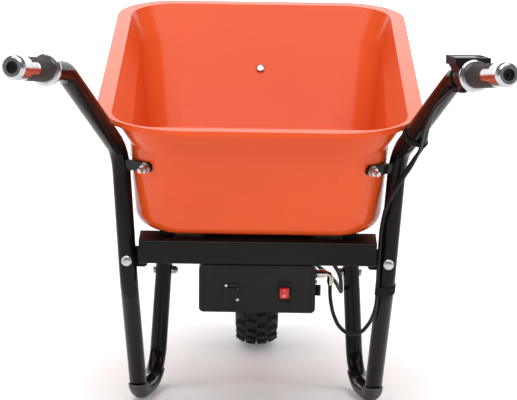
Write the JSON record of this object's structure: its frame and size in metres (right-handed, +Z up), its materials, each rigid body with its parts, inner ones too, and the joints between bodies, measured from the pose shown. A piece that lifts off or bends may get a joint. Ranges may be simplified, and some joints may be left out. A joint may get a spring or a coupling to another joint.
{
  "type": "power wheelbarrow",
  "caption": "Battery-driven single-wheel wheelbarrow: deep orange tray on a black tube frame with hairpin legs, angled handles, twist throttle, battery box and hub motor.",
  "frame": {"origin": "on the ground under the machine, midway between the rear ends of the grips and the front of the tyre, and midway across", "axes": "+Z up, +Y forwards from the operator to the wheel, +X to the operator's right"},
  "size_m": [0.7036, 1.3826, 0.6943],
  "materials": {
    "frame_black": "gloss powder coat",
    "tray_orange": "gloss powder coat",
    "zinc_steel": "zinc plated",
    "grip_aluminium": "polished",
    "grip_rubber": "finely ribbed",
    "black_rubber": "satin",
    "black_plastic": "satin",
    "magnet": "plain",
    "display_lens": "gloss",
    "box_black": "satin powder coat",
    "battery_wrap": "shrink wrap",
    "rocker_red": "lit translucent",
    "clear_boot": "clear gloss",
    "nickel": "nickel plated",
    "cable_black": "satin",
    "strap_fabric": "woven",
    "tyre": "matt",
    "rim_aluminium": "satin black",
    "stator_steel": "laminated, copper wound"
  },
  "bodies": {
    "frame": {"axle": "zinc_steel", "axle_nuts": "zinc_steel", "battery_pack": "battery_wrap", "box_cover": "box_black", "box_shell": "box_black", "cable_straps": "strap_fabric", "charge_port": "black_plastic", "clamp_screw": "zinc_steel", "crossbeam": "frame_black", "display_lens": "display_lens", "dust_cap": "black_rubber", "elbow_plug": "nickel", "flap_pin": "zinc_steel", "foot_shoe_left": "frame_black", "foot_shoe_right": "frame_black", "frame_bolts": "zinc_steel", "frame_nuts": "zinc_steel", "grip_bars": "zinc_steel", "grip_left_core": "grip_aluminium", "grip_left_plug": "black_plastic", "grip_left_rubber": "grip_rubber", "handle_left": "frame_black", "handle_right": "frame_black", "leg_left": "frame_black", "leg_right": "frame_black", "mid_brace": "frame_black", "motor_cable": "cable_black", "motor_controller": "grip_aluminium", "nose_crossbar": "frame_black", "nose_struts": "frame_black", "port_screws": "zinc_steel", "rail_left": "frame_black", "rail_right": "frame_black", "side_socket": "nickel", "stator": "stator_steel", "switch_body": "black_plastic", "switch_boot": "clear_boot", "throttle_cable": "cable_black", "throttle_housing": "black_plastic", "throttle_spring": "zinc_steel", "tray": "tray_orange", "tray_bolts": "zinc_steel", "tray_brackets": "frame_black", "tray_nuts": "zinc_steel", "tray_pads": "black_rubber", "tray_rails": "frame_black"},
    "wheel": {"tyre": "tyre", "wheel_rim": "rim_aluminium", "hub_covers": "rim_aluminium", "magnet_ring": "magnet", "hub_bearings": "zinc_steel", "hub_screws": "zinc_steel", "valve_stem": "black_rubber"},
    "throttle": {"throttle_core": "grip_aluminium", "throttle_rubber": "grip_rubber", "throttle_plug": "black_plastic", "throttle_magnet": "magnet"},
    "flap": {"charge_flap": "black_plastic"},
    "rocker": {"switch_rocker": "rocker_red"},
    "button": {"display_button": "black_plastic"}
  },
  "joints": [
    {"name": "wheel_spin", "type": "hinge", "parent": "frame", "child": "wheel", "pos_m": [0, 0.502, 0.19], "axis": [1, 0, 0], "continuous": true},
    {"name": "throttle_twist", "type": "hinge", "parent": "frame", "child": "throttle", "pos_m": [0.303, -0.568, 0.595], "axis": [0.272, -0.9602, 0.064], "range_deg": [0, 60], "stiffness_Nm_per_rad": 0.35, "springref_deg": -20.05},
    {"name": "flap_hinge", "type": "hinge", "parent": "frame", "child": "flap", "pos_m": [-0.041, -0.2514, 0.23231], "axis": [-1, 0, 0], "range_deg": [0, 110]},
    {"name": "rocker_tip", "type": "hinge", "parent": "frame", "child": "rocker", "pos_m": [0.044, -0.24459, 0.22731], "axis": [-1, 0, 0], "range_deg": [0, 24]},
    {"name": "button_press", "type": "slide", "parent": "frame", "child": "button", "axis": [-0.0252, 0.0889, -0.9957], "range_m": [0, 0.001], "stiffness_N_per_m": 300, "springref_m": -0.001}
  ]
}
